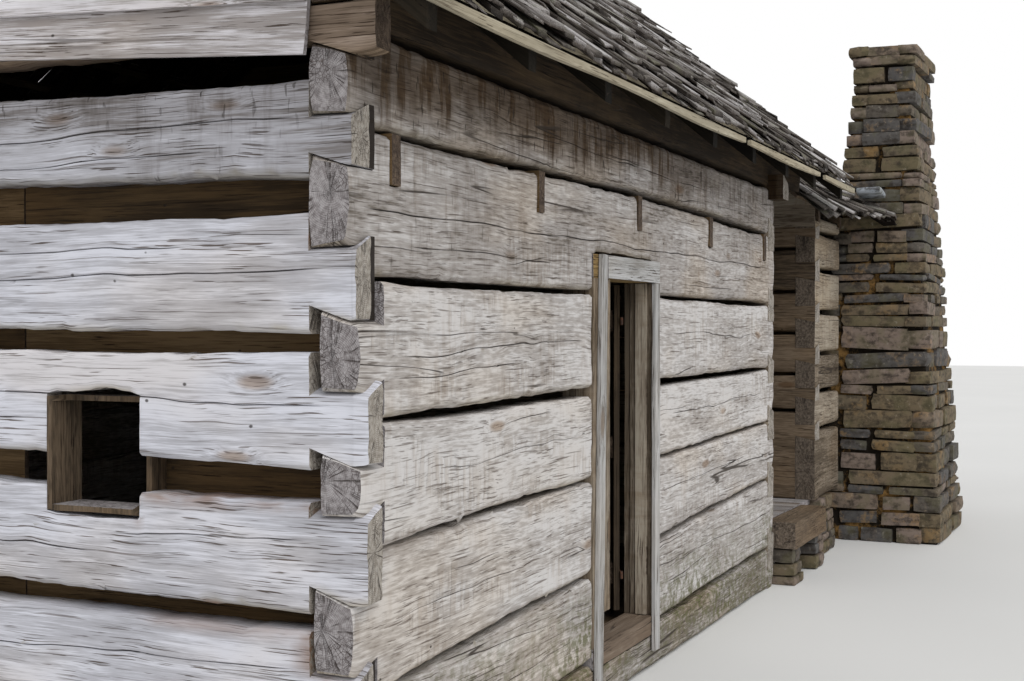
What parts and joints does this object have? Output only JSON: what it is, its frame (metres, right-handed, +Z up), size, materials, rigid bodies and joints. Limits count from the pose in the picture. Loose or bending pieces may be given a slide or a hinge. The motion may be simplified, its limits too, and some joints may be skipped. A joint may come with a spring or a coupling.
{
  "type": "two-pen log cabin with an open passage",
  "caption": "Hewn-log cabin: two rooms with half-dovetail corners, an open passage between them, split-shake roofs and a stone chimney; the front door swings.",
  "frame": {"origin": "on the ground under the near front corner, where the centre planes of the front wall and the near end wall cross", "axes": "+X along the front wall away from the near end wall, +Y into the building, +Z up"},
  "size_m": [10.51, 6.35, 5.2241],
  "materials": {
    "iron": "hand-forged iron, rusted",
    "stone": "stacked field stone with clay",
    "shakes": "split shakes, weathered silver",
    "brown_boards": "rough boards, weathered brown",
    "siding": "sawn boards, weathered grey",
    "inside_timber": "poles and planks, dark",
    "hewn_logs": "hewn logs, weathered grey"
  },
  "bodies": {
    "cabin": {"backing_boards": "brown_boards", "chimney_base": "stone", "chimney_cap": "stone", "chimney_stack": "stone", "door_bucks": "brown_boards", "door_frame": "brown_boards", "door_head": "brown_boards", "door_lintel": "brown_boards", "eave_strips": "siding", "end_log_1": "hewn_logs", "end_log_2": "hewn_logs", "end_log_3": "hewn_logs", "end_log_4": "hewn_logs", "end_log_5": "hewn_logs", "end_log_6": "hewn_logs", "end_log_7": "hewn_logs", "far_door_lining": "brown_boards", "far_end_logs": "hewn_logs", "far_floor": "inside_timber", "far_front_logs": "hewn_logs", "far_joists": "inside_timber", "far_lath": "inside_timber", "far_passage_logs": "hewn_logs", "far_piers": "stone", "far_rafters": "inside_timber", "far_rear_logs": "hewn_logs", "far_roof_front": "shakes", "far_roof_rear": "shakes", "far_siding": "siding", "front_log_1": "hewn_logs", "front_log_2": "hewn_logs", "front_log_3": "hewn_logs", "front_log_4": "hewn_logs", "front_log_5": "hewn_logs", "front_log_6": "hewn_logs", "front_plate": "hewn_logs", "front_sill": "hewn_logs", "loft_joists": "brown_boards", "near_floor": "inside_timber", "near_lath": "inside_timber", "near_rafters": "inside_timber", "near_roof_front": "shakes", "near_roof_rear": "shakes", "near_siding": "siding", "near_sleepers": "inside_timber", "passage_beams": "hewn_logs", "passage_floor": "inside_timber", "passage_logs": "hewn_logs", "passage_siding": "siding", "passage_stones": "stone", "rear_logs": "hewn_logs", "threshold": "hewn_logs", "window_lining": "brown_boards"},
    "door": {"door_leaf": "brown_boards", "door_ledges": "brown_boards", "door_hinges": "iron"}
  },
  "joints": [
    {"name": "door_hinge", "type": "hinge", "parent": "cabin", "child": "door", "pos_m": [2.78, 0.083, 1.06], "axis": [0, 0, 1], "range_deg": [-10, 155]}
  ]
}
